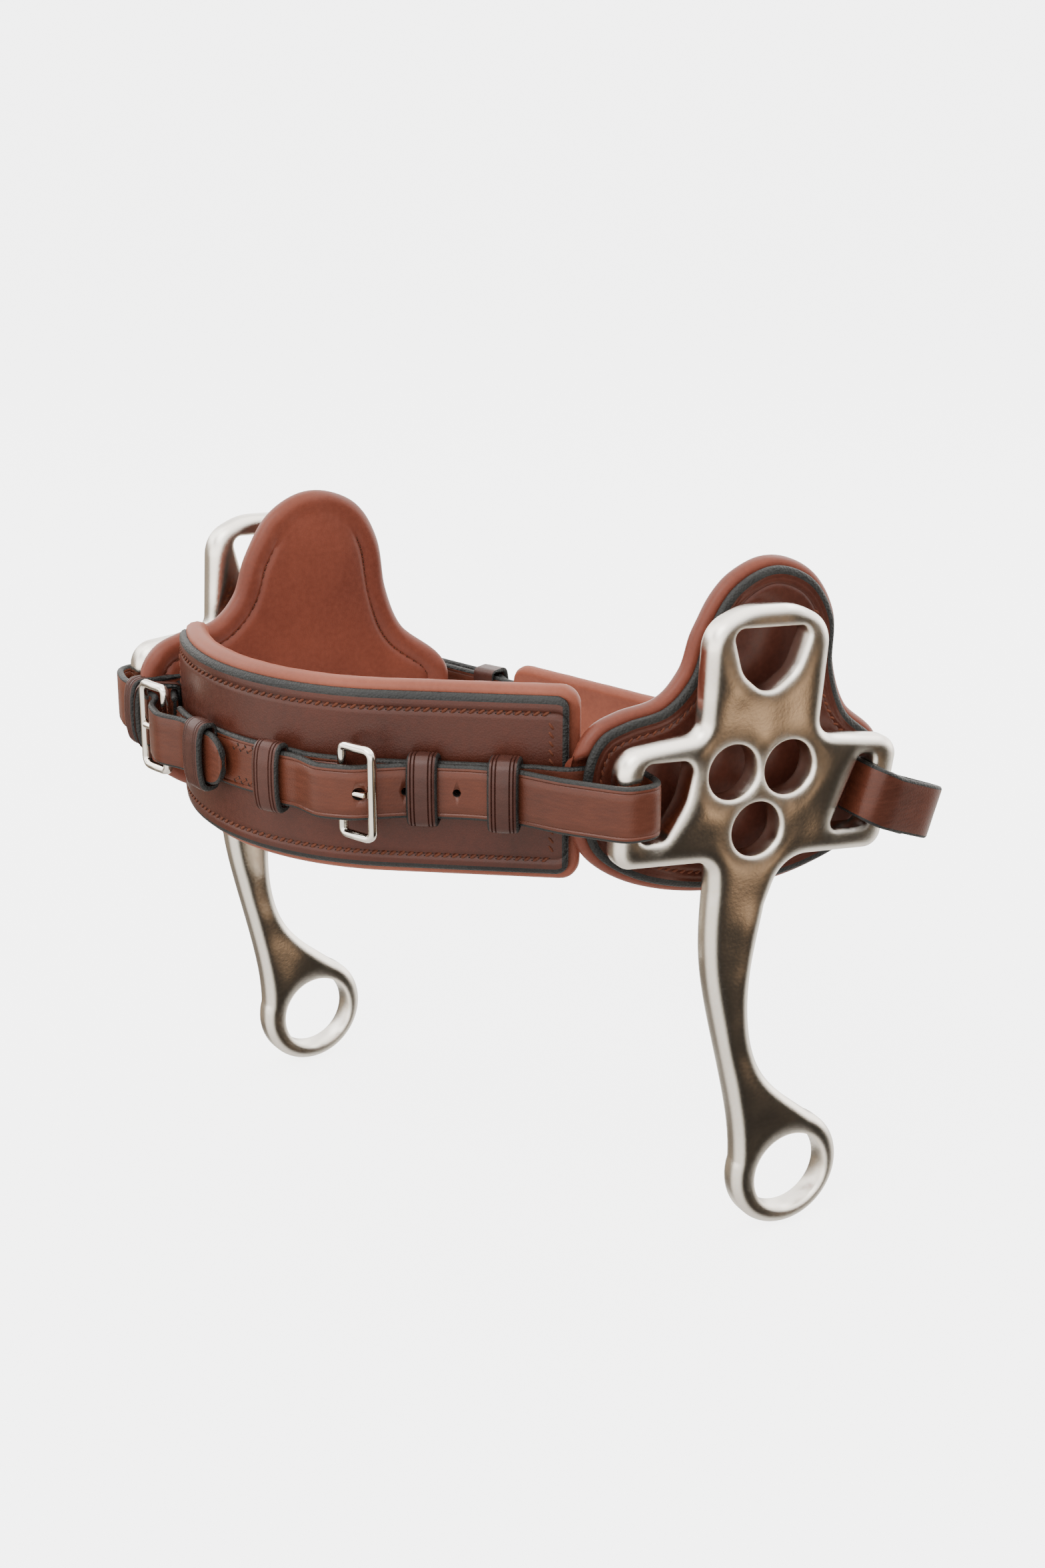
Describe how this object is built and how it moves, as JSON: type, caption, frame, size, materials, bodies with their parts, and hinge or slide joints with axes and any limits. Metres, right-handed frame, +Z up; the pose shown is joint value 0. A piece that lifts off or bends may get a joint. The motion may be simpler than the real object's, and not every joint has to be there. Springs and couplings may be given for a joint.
{
  "type": "mechanical hackamore",
  "caption": "Bitless leather bridle noseband with padded lining, buckled strap, cast metal lever cheeks, shaped cheek guards and a padded curb strap.",
  "frame": {"origin": "point on the noseband's lining where the front of the nose bears, on the noseband's mid height line", "axes": "+X to the horse's left, +Y towards the horse's rear (into the nose opening), +Z up"},
  "size_m": [0.2079, 0.2141, 0.2185],
  "materials": {
    "polished_metal": "polished nickel-coloured casting and buckles, rounded edges",
    "dark_leather": "smooth dark red-brown leather with black dyed edges and contrast stitching",
    "strap_leather": "smooth red-brown bridle leather with a creased line along each edge",
    "padded_lining": "soft rust-coloured lining leather over a thin pad"
  },
  "bodies": {
    "noseband": {"noseband_leather": "dark_leather", "noseband_lining": "padded_lining", "nose_base_strap": "strap_leather", "left_billet": "strap_leather", "right_billet": "strap_leather", "left_buckle_chape": "strap_leather", "right_buckle_chape": "strap_leather", "left_inner_keeper": "strap_leather", "right_inner_keeper": "strap_leather", "right_loose_keeper": "strap_leather"},
    "left_outer_keeper": {"left_outer_keeper": "strap_leather"},
    "left_loose_keeper": {"left_loose_keeper": "strap_leather"},
    "left_buckle_frame": {"left_buckle_frame": "polished_metal"},
    "left_buckle_tongue": {"left_buckle_tongue": "polished_metal"},
    "right_buckle_frame": {"right_buckle_frame": "polished_metal"},
    "right_buckle_tongue": {"right_buckle_tongue": "polished_metal"},
    "cheek_left": {"left_cheek": "polished_metal", "left_guard_leather": "dark_leather", "left_guard_lining": "padded_lining", "left_front_fold": "strap_leather", "left_rear_fold": "strap_leather"},
    "cheek_right": {"right_cheek": "polished_metal", "right_guard_leather": "dark_leather", "right_guard_lining": "padded_lining", "right_front_fold": "strap_leather", "right_rear_fold": "strap_leather", "right_outer_keeper": "strap_leather"},
    "curb": {"curb_base_strap": "strap_leather", "curb_leather": "dark_leather", "curb_lining": "padded_lining", "curb_billet": "strap_leather", "curb_buckle_chape": "strap_leather", "curb_inner_keeper": "strap_leather", "curb_sewn_tail": "strap_leather", "curb_tail_keeper": "strap_leather"},
    "curb_loose_keeper": {"curb_loose_keeper": "strap_leather"},
    "curb_buckle_frame": {"curb_buckle_frame": "polished_metal"},
    "curb_buckle_tongue": {"curb_buckle_tongue": "polished_metal"}
  },
  "joints": [
    {"name": "cheek_swing_left", "type": "hinge", "parent": "noseband", "child": "cheek_left", "pos_m": [0.07121, 0.04911, 0.0025], "axis": [0, 0, 1], "range_deg": [-7, 7]},
    {"name": "cheek_swing_right", "type": "hinge", "parent": "noseband", "child": "cheek_right", "pos_m": [-0.07954, -0.01825, 0.0025], "axis": [0, 0, 1], "range_deg": [-7, 7]},
    {"name": "curb_swing", "type": "hinge", "parent": "cheek_left", "child": "curb", "pos_m": [0.08946, 0.16576, -0.0155], "axis": [0, 0, 1], "range_deg": [-7, 7]},
    {"name": "left_outer_keeper_slide", "type": "slide", "parent": "noseband", "child": "left_outer_keeper", "axis": [-0.6046, -0.7965, 0], "range_m": [0, 0.003]},
    {"name": "left_loose_keeper_slide", "type": "slide", "parent": "noseband", "child": "left_loose_keeper", "axis": [-0.6046, -0.7965, 0], "range_m": [-0.004, 0]},
    {"name": "curb_loose_keeper_slide", "type": "slide", "parent": "curb", "child": "curb_loose_keeper", "axis": [-0.9128, -0.4084, 0], "range_m": [-0.002, 0.004]},
    {"name": "left_buckle_tilt", "type": "hinge", "parent": "noseband", "child": "left_buckle_frame", "pos_m": [0.02707, -0.00331, 0.0025], "axis": [0, 0, -1], "range_deg": [0, 6]},
    {"name": "left_tongue_tilt", "type": "hinge", "parent": "left_buckle_frame", "child": "left_buckle_tongue", "pos_m": [0.02707, -0.00331, 0.0025], "axis": [0, 0, -1], "range_deg": [0, 6]},
    {"name": "right_buckle_tilt", "type": "hinge", "parent": "noseband", "child": "right_buckle_frame", "pos_m": [-0.05294, -0.0281, 0.0025], "axis": [0, 0, 1], "range_deg": [0, 6]},
    {"name": "right_tongue_tilt", "type": "hinge", "parent": "right_buckle_frame", "child": "right_buckle_tongue", "pos_m": [-0.05294, -0.0281, 0.0025], "axis": [0, 0, 1], "range_deg": [0, 6]},
    {"name": "curb_buckle_tilt", "type": "hinge", "parent": "curb", "child": "curb_buckle_frame", "pos_m": [0.0286, 0.15377, -0.0155], "axis": [0, 0, 1], "range_deg": [0, 6]},
    {"name": "curb_tongue_tilt", "type": "hinge", "parent": "curb_buckle_frame", "child": "curb_buckle_tongue", "pos_m": [0.0286, 0.15377, -0.0155], "axis": [0, 0, 1], "range_deg": [0, 6]}
  ],
  "couplings": [
    {"joint": "cheek_swing_right", "follows": "cheek_swing_left", "ratio": 0.96336},
    {"joint": "curb_swing", "follows": "cheek_swing_left", "ratio": -0.79344}
  ]
}
